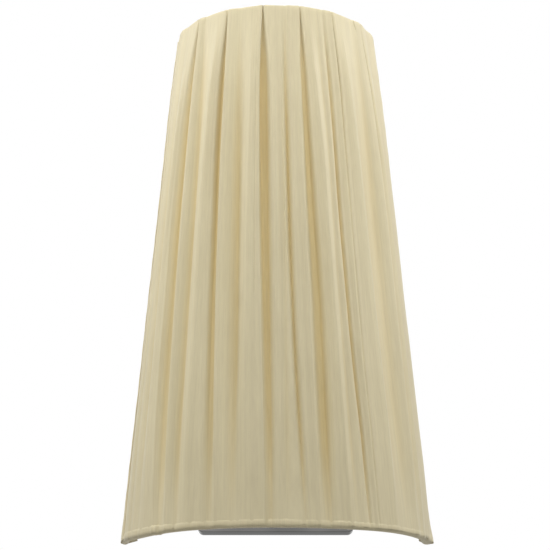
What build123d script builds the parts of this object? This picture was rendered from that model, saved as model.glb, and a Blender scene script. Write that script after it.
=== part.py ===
from build123d import *
import math
import os

# Wall light with a half-round, tapering, pleated cloth shade on a polished pan.
# Millimetres. +Z is up, +X is to the right seen from the room, the wall is the plane Y = 0 and
# the room lies towards -Y. The origin is the centre of the mounting strap's two slots.
# Heights in the names below are measured from the shade's bottom edge.

# ---- shade: overall sizes ----
SHADE_HEIGHT = 352.4            # over the hems
BOTTOM_HALF_WIDTH = 101.6       # outside of the shade at the bottom edge
TOP_HALF_WIDTH = 69.85          # outside of the shade at the top edge
BOX_CENTRE_HEIGHT = 130.0       # outlet box centre above the shade's bottom edge

# ---- shade: cloth ----
CLOTH = 0.9                     # hem and binding cloth, two layers turned in
COVER_THICKNESS = 1.1           # cover cloth between the folds
LINING_THICKNESS = 0.6
SOFT_GAP = 0.3                  # cloth to its neighbours
PLEAT_COUNT = 8
FIRST_PLEAT = 17.5              # degrees from the left end to the first tuck
PLEAT_PITCH = 21.1              # degrees from one tuck to the next
LEFT_TUCKS = 3                  # tucks that are folded the other way
SLOPE_CROWN = 0.08              # rise of a fold's sides, for each mm of the fold's height
# share of the height, height of the fold, its width, width of its steep side, swell of the panels
FOLD_LEVELS = (
    (0.00, 0.6, 10.0, 6.0, 0.1),
    (0.25, 1.8, 10.0, 4.5, 0.5),
    (0.50, 2.6, 9.0, 3.0, 0.8),
    (0.75, 2.2, 8.0, 1.6, 0.6),
    (1.00, 1.35, 6.5, 0.5, 0.1),
)
HEM_LIP = 9.0                   # hem cloth turned up inside the lining
BINDING_LIP = 9.0               # side binding turned in behind the lining

# ---- shade: wire frame ----
WIRE_DIAMETER = 3.0
RIB_PANELS = (1, 3, 5)          # panels between tucks that have a rib behind them
CROSS_STRAP_WIDTH = 12.0
CROSS_STRAP_THICKNESS = 1.5
CROSS_STRAP_BEND = 3.0          # inside radius of its bends
CROSS_STRAP_SIDE_GAP = 5.0      # from the pan's side to the step of the strap

# ---- backplate pan ----
PAN_WIDTH = 102.0
PAN_HEIGHT = 254.0
PAN_DEPTH = 20.0
PAN_WALL = 1.0
PAN_CORNER = 4.0
PAN_EDGE = 3.0
PAN_BOTTOM_HEIGHT = 6.9         # pan's lower edge above the shade's bottom edge

# ---- mounting strap and its fasteners ----
SLOT_SPACING = 88.9
STRAP_END = 7.05                # strap past the middle of each slot
STRAP_WIDTH = 19.0
STRAP_THICKNESS = 2.0
SLOT_WIDTH = 4.8
SLOT_LENGTH = 9.0
STRAP_CENTRE_HOLE = 10.4
STUD_SPACING = 69.85
STUD_DIAMETER = 4.17
STUD_END = 5.5                  # stud in front of the pan
NUT_FLATS = 8.7
NUT_HEIGHT = 3.2
CAP_NUT_HEIGHT = 8.5
CAP_NUT_DOME = 8.0
THREAD_CLEARANCE = 0.1          # a thread in its nut or plate, per side
GROUND_SCREW_OFFSET = 17.5      # above the middle of the strap
GROUND_SCREW_DIAMETER = 4.8
GROUND_HEAD_FLATS = 8.0
GROUND_HEAD_HEIGHT = 3.2
GROUND_SLOT_WIDTH = 1.2
GROUND_SLOT_DEPTH = 1.0

# ---- shade posts and thumb nuts ----
LOWER_POST_RISE = 24.8          # lower post above the pan's lower edge
UPPER_POST_DROP = 17.2          # upper post below the pan's upper edge
POST_DIAMETER = 4.17
POST_COLLAR = 8.0
POST_COLLAR_THICKNESS = 2.0
POST_TAIL = 7.0
POST_TAIL_THICKNESS = 1.0
POST_END = 2.0                  # post past the thumb nut
POST_CHAMFER = 0.4
HOLE_CLEARANCE = 0.35           # a post in the cross strap, per side
RUNNING_GAP = 0.3               # faces of parts that move on each other
THUMB_NUT_DIAMETER = 12.7
THUMB_NUT_LENGTH = 7.0
THUMB_NUT_HUB = 8.4
THUMB_NUT_HUB_LENGTH = 1.6
THUMB_NUT_GROOVES = 12
THUMB_NUT_GROOVE = 0.5
THUMB_NUT_CHAMFER = 1.0
THUMB_NUT_CLEARANCE = 0.25

# ---- socket bracket, nipple and lampholder ----
LAMP_AXIS_DEPTH = 50.0          # lamp's axis in front of the wall
BRACKET_WIDTH = 16.0
BRACKET_THICKNESS = 1.5
BRACKET_BEND = 2.0
BRACKET_NOSE_RADIUS = 7.2
BRACKET_HEIGHT = 80.0           # underside of its shelf
BRACKET_FOOT = 18.0             # foot below the shelf
RIVET_EDGE = 3.5                # lower rivet above the end of the foot
RIVET_SPACING = 8.5
RIVET_DIAMETER = 3.2
RIVET_HEAD = 5.6
RIVET_HEAD_HEIGHT = 1.3
RIVET_TAIL = 4.7
RIVET_TAIL_HEIGHT = 1.0
NIPPLE_WALL = 1.85
NIPPLE_LENGTH = 15.0
NIPPLE_BELOW = 5.0              # nipple below the shelf
NIPPLE_CHAMFER = 0.4
LOCKNUT_WALL = 2.0              # round the nipple, at the flats
LOCKNUT_HEIGHT = 3.0
HOLDER_DIAMETER = 25.4
HOLDER_COLLAR = 19.0
HOLDER_COLLAR_HEIGHT = 6.0
HOLDER_FLOOR = 6.0              # floor above the nipple
HOLDER_RIM_RISE = 2.5           # rim above the top of the lamp's base
HOLDER_MOUTH_CHAMFER = 1.5
SHELL_CLEARANCE = 0.55          # lamp base in the lampholder's screw shell, per side
SHELL_WALL = 0.4
SHELL_FLANGE = 2.2
SHELL_BELOW_RIM = 1.0
CONTACT_WIDTH = 3.0
CONTACT_THICKNESS = 0.5
CONTACT_RISE = 2.3

# ---- lamp: candle shape on a candelabra screw base ----
LAMP_DIAMETER = 34.8
LAMP_LENGTH = 98.0
LAMP_END_RADIUS = 3.2
LAMP_FLARE = 30.0               # degrees, of the cone under the belly
LAMP_BELLY_RISE = 32.0          # middle of the belly above the base
LAMP_BASE_DIAMETER = 11.7
LAMP_BASE_LENGTH = 14.4
LAMP_BASE_WALL = 0.3
LAMP_FOOT_DIAMETER = 4.6
LAMP_FOOT_HEIGHT = 1.5
LAMP_INSULATOR_HEIGHT = 2.0
GLASS_WALL = 0.7

# ---- wiring ----
LEAD_DIAMETER = 2.2
LEAD_GAP = 1.8                  # between the two leads, in nipple and bushing
LEAD_ENTRY_HEIGHT = 47.0        # where the leads enter the pan
LEAD_CAVITY_DEPTH = 10.0        # leads and connectors, from the wall
LEAD_BENDS = (12.0, 7.0, 9.0)   # radii in front of the pan, inside it and by the connector
NIPPLE_CLEARANCE = 0.2          # leads in the nipple, per side
BUSHING_CLEARANCE = 0.9         # leads in the bushing, per side
BUSHING_WALL = 1.5
BUSHING_RIM = 1.5               # flange past the hole, and its thickness
BUSHING_BARB = 0.5              # back rim past the hole
CONNECTOR_OFFSET = 25.0         # lead connectors to each side of the middle
CONNECTOR_HEIGHT = 78.0         # mouth of the lead connectors
CONNECTOR_LENGTH = 22.0
CONNECTOR_MOUTH = 13.0
CONNECTOR_TIP = 8.0
CONNECTOR_TIP_CHAMFER = 1.3
CONNECTOR_WING_SPAN = 16.2
CONNECTOR_WING_LENGTH = 13.2
CONNECTOR_WING_THICKNESS = 1.6
CONNECTOR_BORE = 8.0
CONNECTOR_BORE_DEPTH = 12.0
GROUND_CONNECTOR_OFFSET = 33.0
GROUND_CONNECTOR_HEIGHT = 128.0  # mouth, which looks up
GROUND_CONNECTOR_DEPTH = 8.0
GROUND_WIRE_DIAMETER = 1.8
GROUND_WIRE_BEND = 8.0
RING_TERMINAL_DIAMETER = 9.0
RING_TERMINAL_THICKNESS = 0.8
RING_TERMINAL_BARREL = 3.2
RING_TERMINAL_BARREL_LENGTH = 4.8
RING_TERMINAL_REACH = 11.0

# ---- places worked out from the sizes ----
FLOOR_Z = -BOX_CENTRE_HEIGHT    # shade's bottom edge
PAN_FACE_Y = -PAN_DEPTH
PAN_INSIDE_Y = -PAN_DEPTH + PAN_WALL
PAN_MIDDLE_Z = FLOOR_Z + PAN_BOTTOM_HEIGHT + PAN_HEIGHT / 2
LAMP_Y = -LAMP_AXIS_DEPTH
LEAD_OFFSET = (LEAD_DIAMETER + LEAD_GAP) / 2
NIPPLE_BORE = 2 * (LEAD_OFFSET + LEAD_DIAMETER / 2 + NIPPLE_CLEARANCE)
NIPPLE_DIAMETER = NIPPLE_BORE + 2 * NIPPLE_WALL
BUSHING_BORE = 2 * (LEAD_OFFSET + LEAD_DIAMETER / 2 + BUSHING_CLEARANCE)
BUSHING_BODY = BUSHING_BORE + 2 * BUSHING_WALL
SHELL_OUTSIDE = LAMP_BASE_DIAMETER + 2 * (SHELL_CLEARANCE + SHELL_WALL)
SHELF_TOP_Z = FLOOR_Z + BRACKET_HEIGHT + BRACKET_THICKNESS
NIPPLE_TOP_Z = FLOOR_Z + BRACKET_HEIGHT - NIPPLE_BELOW + NIPPLE_LENGTH
HOLDER_FLOOR_Z = NIPPLE_TOP_Z + HOLDER_FLOOR
LAMP_FOOT_Z = HOLDER_FLOOR_Z + CONTACT_THICKNESS + CONTACT_RISE + RUNNING_GAP
LAMP_SHELL_Z = LAMP_FOOT_Z + LAMP_FOOT_HEIGHT + LAMP_INSULATOR_HEIGHT
LAMP_NECK_Z = LAMP_SHELL_Z + LAMP_BASE_LENGTH
HOLDER_TOP_Z = LAMP_NECK_Z + HOLDER_RIM_RISE
EDGE_Y = -(CLOTH + SOFT_GAP)    # frame and cover end here, the side bindings lie behind
BASE_BOTTOM = BOTTOM_HALF_WIDTH - FOLD_LEVELS[0][1]
BASE_TOP = TOP_HALF_WIDTH - FOLD_LEVELS[-1][1]
WIRE_INSET = COVER_THICKNESS + SOFT_GAP + WIRE_DIAMETER / 2
LINING_INSET = WIRE_INSET + WIRE_DIAMETER / 2 + SOFT_GAP
LIP_INSET = LINING_INSET + LINING_THICKNESS + SOFT_GAP
RING_HEIGHTS = (
    CLOTH + SOFT_GAP + WIRE_DIAMETER / 2,
    SHADE_HEIGHT - CLOTH - SOFT_GAP - WIRE_DIAMETER / 2,
)
STRAP_BACK_Y = PAN_FACE_Y - POST_COLLAR_THICKNESS - RUNNING_GAP
STRAP_FRONT_Y = STRAP_BACK_Y - CROSS_STRAP_THICKNESS
NUT_BACK_Y = STRAP_FRONT_Y - RUNNING_GAP
POST_TIP_Y = NUT_BACK_Y - THUMB_NUT_LENGTH - POST_END
LOWER_POST = PAN_BOTTOM_HEIGHT + LOWER_POST_RISE
UPPER_POST = PAN_BOTTOM_HEIGHT + PAN_HEIGHT - UPPER_POST_DROP
POST_HEIGHTS = (LOWER_POST, UPPER_POST)
LOWER_RIVET = BRACKET_HEIGHT - BRACKET_FOOT + RIVET_EDGE
RIVET_HEIGHTS = (LOWER_RIVET, LOWER_RIVET + RIVET_SPACING)
STUD_HEIGHTS = (BOX_CENTRE_HEIGHT - STUD_SPACING / 2, BOX_CENTRE_HEIGHT + STUD_SPACING / 2)
WIDE = 3 * SHADE_HEIGHT          # larger than the light, for cutting


def z_of(height):
    return FLOOR_Z + height


def base_radius(height):
    """Radius of the cover's outside between its folds."""
    return BASE_BOTTOM + (BASE_TOP - BASE_BOTTOM) * height / SHADE_HEIGHT


def save(node, *solids):
    shape = solids[0] if len(solids) == 1 else Compound(children=list(solids))
    os.makedirs("parts", exist_ok=True)
    export_step(shape, f"parts/{node}.step")


def rod_y(radius, y_from, y_to, x=0.0, z=0.0):
    """Round bar along Y."""
    length = abs(y_to - y_from)
    return Pos(x, (y_from + y_to) / 2, z) * Rot(90, 0, 0) * Cylinder(radius, length)


def rod_z(radius, z_from, z_to, x=0.0, y=0.0):
    """Round bar along Z."""
    return Pos(x, y, (z_from + z_to) / 2) * Cylinder(radius, abs(z_to - z_from))


def hexagon_y(flats, y_from, y_to, x=0.0, z=0.0):
    """Six-sided bar along Y, with flats across."""
    plane = Plane((x, y_from, z), x_dir=(1, 0, 0), z_dir=(0, y_to - y_from, 0))
    return extrude(plane * RegularPolygon(flats / 2, 6, major_radius=False), abs(y_to - y_from))


def end_angle(radius):
    """Degrees from the wall plane to where a hoop of this radius ends."""
    return math.degrees(math.asin(-EDGE_Y / radius))


def half_turned(face, margin):
    """Face of (radius, z) swept about Z round the room side, short of the wall by the margin."""
    start = Rot(0, 0, margin - 180) * (Plane.XZ * face)
    return revolve(start, Axis.Z, 180 - 2 * margin)


# ---------------------------------------------------------------- backplate and wall fixing

def pan_block(inset):
    """Rounded block of the pan's outside, or with an inset of its hollow."""
    outline = RectangleRounded(PAN_WIDTH - 2 * inset, PAN_HEIGHT - 2 * inset, PAN_CORNER - inset)
    block = extrude(Plane.XZ * Pos(0, PAN_MIDDLE_Z) * outline, PAN_DEPTH - inset)
    return fillet(block.faces().sort_by(Axis.Y)[0].edges(), PAN_EDGE - inset)


def backplate():
    pan = pan_block(0) - pan_block(PAN_WALL)
    through = (PAN_FACE_Y - PAN_WALL, PAN_INSIDE_Y + PAN_WALL)
    for height in STUD_HEIGHTS:
        pan -= rod_y(STUD_DIAMETER / 2 + HOLE_CLEARANCE, *through, z=z_of(height))
    for height in POST_HEIGHTS:
        pan -= rod_y(POST_DIAMETER / 2, *through, z=z_of(height))
    for height in RIVET_HEIGHTS:
        pan -= rod_y(RIVET_DIAMETER / 2, *through, z=z_of(height))
    pan -= rod_y(BUSHING_BODY / 2, *through, z=z_of(LEAD_ENTRY_HEIGHT))
    return pan


def mounting_strap():
    length = SLOT_SPACING + 2 * STRAP_END
    plate = extrude(Plane.XZ * SlotOverall(length, STRAP_WIDTH, rotation=90), STRAP_THICKNESS)
    slot = Plane.XZ * SlotOverall(SLOT_LENGTH, SLOT_WIDTH, rotation=90)
    for side in (-1, 1):
        plate -= Pos(0, 0, side * SLOT_SPACING / 2) * extrude(slot, STRAP_THICKNESS)
        plate -= rod_y(
            STUD_DIAMETER / 2 + THREAD_CLEARANCE, 0, -STRAP_THICKNESS, z=side * STUD_SPACING / 2
        )
    plate -= rod_y(STRAP_CENTRE_HOLE / 2, 0, -STRAP_THICKNESS)
    plate -= rod_y(
        GROUND_SCREW_DIAMETER / 2 + THREAD_CLEARANCE, 0, -STRAP_THICKNESS, z=GROUND_SCREW_OFFSET
    )
    return plate


def plate_studs():
    tip_y = PAN_FACE_Y - STUD_END
    return [rod_y(STUD_DIAMETER / 2, 0, tip_y, z=z_of(height)) for height in STUD_HEIGHTS]


def stud_lock_nuts():
    nuts = []
    for height in STUD_HEIGHTS:
        ends = (-STRAP_THICKNESS, -STRAP_THICKNESS - NUT_HEIGHT)
        nut = hexagon_y(NUT_FLATS, *ends, z=z_of(height))
        nuts.append(nut - rod_y(STUD_DIAMETER / 2 + THREAD_CLEARANCE, *ends, z=z_of(height)))
    return nuts


def cap_nuts():
    nuts = []
    dome_radius = CAP_NUT_DOME / 2
    for height in STUD_HEIGHTS:
        z = z_of(height)
        neck_y = PAN_FACE_Y - CAP_NUT_HEIGHT + dome_radius
        nut = hexagon_y(NUT_FLATS, PAN_FACE_Y, PAN_FACE_Y - NUT_HEIGHT, z=z)
        nut += rod_y(dome_radius, PAN_FACE_Y, neck_y, z=z)
        nut += Pos(0, neck_y, z) * Sphere(dome_radius)
        blind = STUD_END + THREAD_CLEARANCE
        bore = rod_y(STUD_DIAMETER / 2 + THREAD_CLEARANCE, PAN_FACE_Y, PAN_FACE_Y - blind, z=z)
        nuts.append(nut - bore)
    return nuts


def ground_screw():
    z = GROUND_SCREW_OFFSET
    seat_y = -STRAP_THICKNESS - RING_TERMINAL_THICKNESS
    head = hexagon_y(GROUND_HEAD_FLATS, seat_y, seat_y - GROUND_HEAD_HEIGHT, z=z)
    slot = Pos(0, seat_y - GROUND_HEAD_HEIGHT, z) * Box(
        GROUND_HEAD_FLATS * 2, GROUND_SLOT_DEPTH * 2, GROUND_SLOT_WIDTH
    )
    return head - slot + rod_y(GROUND_SCREW_DIAMETER / 2, 0, seat_y, z=z)


# ---------------------------------------------------------------- lampholder and its bracket

def socket_bracket():
    half = BRACKET_THICKNESS / 2
    foot_z = z_of(BRACKET_HEIGHT - BRACKET_FOOT)
    reach_y = LAMP_Y - BRACKET_WIDTH / 2
    line = FilletPolyline(
        (0, PAN_FACE_Y - half, foot_z),
        (0, PAN_FACE_Y - half, SHELF_TOP_Z - half),
        (0, reach_y, SHELF_TOP_Z - half),
        radius=BRACKET_BEND + half,
    )
    section = Plane(line @ 0, x_dir=(1, 0, 0), z_dir=line % 0) * Rectangle(
        BRACKET_WIDTH, BRACKET_THICKNESS
    )
    bracket = sweep(section, path=line)
    corners = bracket.edges().filter_by(Axis.Z).group_by(Axis.Y)[0]
    bracket = fillet(corners, BRACKET_NOSE_RADIUS)
    bracket -= rod_z(
        NIPPLE_DIAMETER / 2 + THREAD_CLEARANCE, foot_z, SHELF_TOP_Z, y=LAMP_Y
    )
    for height in RIVET_HEIGHTS:
        bracket -= rod_y(
            RIVET_DIAMETER / 2, PAN_INSIDE_Y, PAN_FACE_Y - 2 * BRACKET_THICKNESS, z=z_of(height)
        )
    return bracket


def bracket_rivets():
    rivets = []
    front_y = PAN_FACE_Y - BRACKET_THICKNESS
    radius = RIVET_HEAD / 2
    ball = (radius**2 + RIVET_HEAD_HEIGHT**2) / (2 * RIVET_HEAD_HEIGHT)
    for height in RIVET_HEIGHTS:
        z = z_of(height)
        dome = Pos(0, front_y - RIVET_HEAD_HEIGHT + ball, z) * Sphere(ball)
        head = dome & rod_y(RIVET_HEAD, front_y, front_y - RIVET_HEAD_HEIGHT, z=z)
        shank = rod_y(RIVET_DIAMETER / 2, front_y, PAN_INSIDE_Y, z=z)
        tail = rod_y(RIVET_TAIL / 2, PAN_INSIDE_Y, PAN_INSIDE_Y + RIVET_TAIL_HEIGHT, z=z)
        rivets.append(head + shank + tail)
    return rivets


def socket_nipple():
    bottom = NIPPLE_TOP_Z - NIPPLE_LENGTH
    tube = chamfer(
        rod_z(NIPPLE_DIAMETER / 2, bottom, NIPPLE_TOP_Z, y=LAMP_Y).edges(), NIPPLE_CHAMFER
    )
    return tube - rod_z(NIPPLE_BORE / 2, bottom, NIPPLE_TOP_Z, y=LAMP_Y)


def nipple_locknut():
    top = z_of(BRACKET_HEIGHT)
    blank = Plane.XY.offset(top - LOCKNUT_HEIGHT) * Pos(0, LAMP_Y) * RegularPolygon(
        NIPPLE_DIAMETER / 2 + LOCKNUT_WALL, 6, major_radius=False
    )
    nut = extrude(blank, LOCKNUT_HEIGHT)
    return nut - rod_z(NIPPLE_DIAMETER / 2 + THREAD_CLEARANCE, top - LOCKNUT_HEIGHT, top, y=LAMP_Y)


def lampholder():
    outer = HOLDER_DIAMETER / 2
    shape = rod_z(HOLDER_COLLAR / 2, SHELF_TOP_Z, SHELF_TOP_Z + HOLDER_COLLAR_HEIGHT)
    body = rod_z(outer, SHELF_TOP_Z + HOLDER_COLLAR_HEIGHT, HOLDER_TOP_Z)
    shape += chamfer(body.edges(), HOLDER_MOUTH_CHAMFER)
    mouth = SHELL_OUTSIDE / 2 + THREAD_CLEARANCE
    shape -= rod_z(mouth, HOLDER_FLOOR_Z, HOLDER_TOP_Z)
    shape -= Pos(0, 0, HOLDER_TOP_Z) * Cone(
        mouth, mouth + HOLDER_MOUTH_CHAMFER, HOLDER_MOUTH_CHAMFER,
        align=(Align.CENTER, Align.CENTER, Align.MAX),
    )
    shape -= rod_z(NIPPLE_DIAMETER / 2 + THREAD_CLEARANCE, SHELF_TOP_Z, NIPPLE_TOP_Z)
    shape -= rod_z(NIPPLE_BORE / 2, NIPPLE_TOP_Z, HOLDER_FLOOR_Z)
    return Pos(0, LAMP_Y, 0) * shape


def screw_shell():
    """Thin threaded shell with a flange on the floor and a tongue over the right-hand lead."""
    outside = SHELL_OUTSIDE / 2
    top = HOLDER_TOP_Z - HOLDER_MOUTH_CHAMFER - SHELL_BELOW_RIM
    shell = rod_z(outside, HOLDER_FLOOR_Z, top)
    shell -= rod_z(outside - SHELL_WALL, HOLDER_FLOOR_Z + SHELL_WALL, top)
    shell -= rod_z(outside - SHELL_FLANGE, HOLDER_FLOOR_Z, top)
    tongue_start = LEAD_OFFSET - LEAD_DIAMETER / 3
    tongue = Pos((tongue_start + outside - SHELL_WALL) / 2, 0, HOLDER_FLOOR_Z + SHELL_WALL / 2) * Box(
        outside - SHELL_WALL - tongue_start, LEAD_DIAMETER, SHELL_WALL
    )
    return Pos(0, LAMP_Y, 0) * (shell + tongue)


def centre_contact():
    """Spring strip over the left-hand lead, bent up to the middle of the lampholder."""
    half = CONTACT_THICKNESS / 2
    seat = HOLDER_FLOOR_Z + half
    start = -(SHELL_OUTSIDE / 2 - SHELL_FLANGE - SOFT_GAP)
    bend = -LEAD_OFFSET + LEAD_DIAMETER / 2
    line = FilletPolyline(
        (start, LAMP_Y, seat),
        (bend, LAMP_Y, seat),
        (0, LAMP_Y, seat + CONTACT_RISE),
        (-start / 2, LAMP_Y, seat + CONTACT_RISE),
        radius=CONTACT_THICKNESS,
    )
    section = Plane(line @ 0, x_dir=(0, 1, 0), z_dir=line % 0) * Rectangle(
        CONTACT_WIDTH, CONTACT_THICKNESS
    )
    return sweep(section, path=line)


# ---------------------------------------------------------------- lamp

def lamp_glass():
    """Frosted candle-shaped glass, open at the neck, which stands in the base."""
    belly_z = LAMP_NECK_Z + LAMP_BELLY_RISE
    end_z = LAMP_FOOT_Z + LAMP_LENGTH - LAMP_END_RADIUS
    neck = LAMP_BASE_DIAMETER / 2 - LAMP_BASE_WALL
    flare = math.radians(LAMP_FLARE)

    def side(inset):
        """Neck to tip: a cone, the round belly, a long cone tangent to it and a blunt end."""
        belly = LAMP_DIAMETER / 2 - inset
        end = LAMP_END_RADIUS - inset
        lean = math.asin((belly - end) / (end_z - belly_z))
        low = (belly * math.cos(flare), belly_z - belly * math.sin(flare))
        high = (belly * math.cos(lean), belly_z + belly * math.sin(lean))
        shoulder = (end * math.cos(lean), end_z + end * math.sin(lean))
        slope = (low[0] - (neck - inset)) / math.tan(flare)
        return [
            Line((neck - inset, LAMP_NECK_Z), (neck - inset, low[1] - slope)),
            Line((neck - inset, low[1] - slope), low),
            ThreePointArc(low, (belly, belly_z), high),
            Line(high, shoulder),
            TangentArc(shoulder, (0, end_z + end), tangent=(-math.sin(lean), math.cos(lean))),
        ]

    foot_z = LAMP_NECK_Z - LAMP_BASE_LENGTH / 2
    outer = side(0)
    inner = side(GLASS_WALL)
    section = make_face([
        *outer,
        Line(outer[-1] @ 1, inner[-1] @ 1),
        *inner,
        Line(inner[0] @ 0, (neck - GLASS_WALL, foot_z)),
        Line((neck - GLASS_WALL, foot_z), (neck, foot_z)),
        Line((neck, foot_z), outer[0] @ 0),
    ])
    return Pos(0, LAMP_Y, 0) * revolve(Plane.XZ * section, Axis.Z)


def lamp_base():
    outside = LAMP_BASE_DIAMETER / 2
    shell = rod_z(outside, LAMP_SHELL_Z, LAMP_NECK_Z)
    shell = chamfer(shell.edges().sort_by(Axis.Z)[0], LAMP_BASE_WALL)
    shell -= rod_z(outside - LAMP_BASE_WALL, LAMP_SHELL_Z + LAMP_BASE_WALL, LAMP_NECK_Z)
    return Pos(0, LAMP_Y, 0) * shell


def lamp_insulator():
    bottom = LAMP_FOOT_Z + LAMP_FOOT_HEIGHT
    cone = Pos(0, 0, bottom) * Cone(
        LAMP_FOOT_DIAMETER / 2, LAMP_BASE_DIAMETER / 2 - LAMP_BASE_WALL * 3, LAMP_INSULATOR_HEIGHT,
        align=(Align.CENTER, Align.CENTER, Align.MIN),
    )
    return Pos(0, LAMP_Y, 0) * cone


def lamp_foot_contact():
    radius = LAMP_FOOT_DIAMETER / 2
    ball = (radius**2 + LAMP_FOOT_HEIGHT**2) / (2 * LAMP_FOOT_HEIGHT)
    dome = Pos(0, LAMP_Y, LAMP_FOOT_Z + ball) * Sphere(ball)
    return dome & rod_z(radius * 2, LAMP_FOOT_Z, LAMP_FOOT_Z + LAMP_FOOT_HEIGHT, y=LAMP_Y)


# ---------------------------------------------------------------- wiring

def wire(diameter, points, radii):
    line = FilletPolyline(*points, radius=radii)
    section = Plane(line @ 0, z_dir=line % 0) * Circle(diameter / 2)
    return sweep(section, path=line)


def lamp_lead(side):
    """From the lampholder down through the nipple, back into the pan and up to its connector."""
    entry_z = z_of(LEAD_ENTRY_HEIGHT)
    mouth_z = z_of(CONNECTOR_HEIGHT)
    x = side * LEAD_OFFSET
    far_x = side * CONNECTOR_OFFSET
    back_y = -LEAD_CAVITY_DEPTH
    points = (
        (x, LAMP_Y, HOLDER_FLOOR_Z),
        (x, LAMP_Y, entry_z),
        (x, back_y, entry_z),
        (far_x, back_y, (entry_z + mouth_z) / 2),
        (far_x, back_y, mouth_z + CONNECTOR_BORE_DEPTH),
    )
    return wire(LEAD_DIAMETER, points, LEAD_BENDS)


def wire_connector():
    """Twist-on connector along +Z with its mouth at the origin, and two wings."""
    body = Cone(
        CONNECTOR_MOUTH / 2, CONNECTOR_TIP / 2, CONNECTOR_LENGTH,
        align=(Align.CENTER, Align.CENTER, Align.MIN),
    )
    body = chamfer(body.edges().sort_by(Axis.Z)[-1], CONNECTOR_TIP_CHAMFER)
    wing = Pos(0, 0, CONNECTOR_WING_LENGTH / 2) * Box(
        CONNECTOR_WING_SPAN, CONNECTOR_WING_THICKNESS, CONNECTOR_WING_LENGTH
    )
    body += wing
    return body - rod_z(CONNECTOR_BORE / 2, 0, CONNECTOR_BORE_DEPTH)


def wire_connectors():
    lead_y = -LEAD_CAVITY_DEPTH
    placed = [
        Pos(side * CONNECTOR_OFFSET, lead_y, z_of(CONNECTOR_HEIGHT)) * wire_connector()
        for side in (-1, 1)
    ]
    ground = Pos(GROUND_CONNECTOR_OFFSET, -GROUND_CONNECTOR_DEPTH, z_of(GROUND_CONNECTOR_HEIGHT))
    placed.append(ground * Rot(0, 180, 0) * wire_connector())
    return placed


def ground_lead():
    """Ring terminal under the ground screw, with a bare wire to the third connector."""
    z = GROUND_SCREW_OFFSET
    back_y = -STRAP_THICKNESS
    ring = rod_y(RING_TERMINAL_DIAMETER / 2, back_y, back_y - RING_TERMINAL_THICKNESS, z=z)
    tail = Pos(RING_TERMINAL_REACH / 2, back_y - RING_TERMINAL_THICKNESS / 2, z) * Box(
        RING_TERMINAL_REACH, RING_TERMINAL_THICKNESS, RING_TERMINAL_BARREL
    )
    barrel_y = back_y - RING_TERMINAL_BARREL / 2
    barrel = Pos(RING_TERMINAL_REACH, barrel_y, z) * Rot(0, 90, 0) * Cylinder(
        RING_TERMINAL_BARREL / 2, RING_TERMINAL_BARREL_LENGTH
    )
    terminal = ring + tail + barrel
    terminal -= rod_y(
        GROUND_SCREW_DIAMETER / 2 + THREAD_CLEARANCE, back_y, back_y - GROUND_HEAD_HEIGHT, z=z
    )
    far = (GROUND_CONNECTOR_OFFSET, -GROUND_CONNECTOR_DEPTH)
    points = (
        (RING_TERMINAL_REACH, barrel_y, z),
        (*far, z),
        (*far, z_of(GROUND_CONNECTOR_HEIGHT) - CONNECTOR_BORE_DEPTH),
    )
    return terminal + wire(GROUND_WIRE_DIAMETER, points, GROUND_WIRE_BEND)


def wire_bushing():
    z = z_of(LEAD_ENTRY_HEIGHT)
    front = PAN_FACE_Y - BUSHING_RIM
    back = PAN_INSIDE_Y + BUSHING_RIM
    bushing = rod_y(BUSHING_BODY / 2 + BUSHING_RIM, front, PAN_FACE_Y, z=z)
    bushing += rod_y(BUSHING_BODY / 2, PAN_FACE_Y, PAN_INSIDE_Y, z=z)
    bushing += rod_y(BUSHING_BODY / 2 + BUSHING_BARB, PAN_INSIDE_Y, back, z=z)
    return bushing - rod_y(BUSHING_BORE / 2, front, back, z=z)


# ---------------------------------------------------------------- shade posts and thumb nuts

def shade_posts():
    posts = []
    collar_y = PAN_FACE_Y - POST_COLLAR_THICKNESS
    for height in POST_HEIGHTS:
        z = z_of(height)
        stem = rod_y(POST_DIAMETER / 2, PAN_INSIDE_Y, POST_TIP_Y, z=z)
        stem = chamfer(stem.edges().sort_by(Axis.Y)[0], POST_CHAMFER)
        collar = rod_y(POST_COLLAR / 2, PAN_FACE_Y, collar_y, z=z)
        tail = rod_y(POST_TAIL / 2, PAN_INSIDE_Y, PAN_INSIDE_Y + POST_TAIL_THICKNESS, z=z)
        posts.append(stem + collar + tail)
    return posts


def thumb_nut(height):
    z = z_of(height)
    radius = THUMB_NUT_DIAMETER / 2
    hub_y = NUT_BACK_Y - THUMB_NUT_HUB_LENGTH
    front_y = NUT_BACK_Y - THUMB_NUT_LENGTH
    wheel = rod_y(radius, hub_y, front_y, z=z)
    wheel = chamfer(wheel.edges().sort_by(Axis.Y)[0], THUMB_NUT_CHAMFER)
    for index in range(THUMB_NUT_GROOVES):
        groove = Pos(0, 0, radius) * Rot(0, 45, 0) * Box(
            THUMB_NUT_GROOVE * 2, THUMB_NUT_LENGTH * 3, THUMB_NUT_GROOVE * 2
        )
        wheel -= Pos(0, hub_y, z) * Rot(0, 360 / THUMB_NUT_GROOVES * index, 0) * groove
    nut = wheel + rod_y(THUMB_NUT_HUB / 2, NUT_BACK_Y, hub_y, z=z)
    return nut - rod_y(POST_DIAMETER / 2 + THUMB_NUT_CLEARANCE, NUT_BACK_Y, front_y, z=z)


# ---------------------------------------------------------------- shade frame

def wire_point(height, angle):
    """Point of the frame's wire line: angle 0 is at the left end, 180 at the right."""
    radius = base_radius(height) - WIRE_INSET
    turn = math.radians(angle)
    return (-radius * math.cos(turn), -radius * math.sin(turn), z_of(height))


def ring(height):
    radius = base_radius(height) - WIRE_INSET
    section = Pos(radius, z_of(height)) * Circle(WIRE_DIAMETER / 2)
    return half_turned(section, end_angle(radius))


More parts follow.
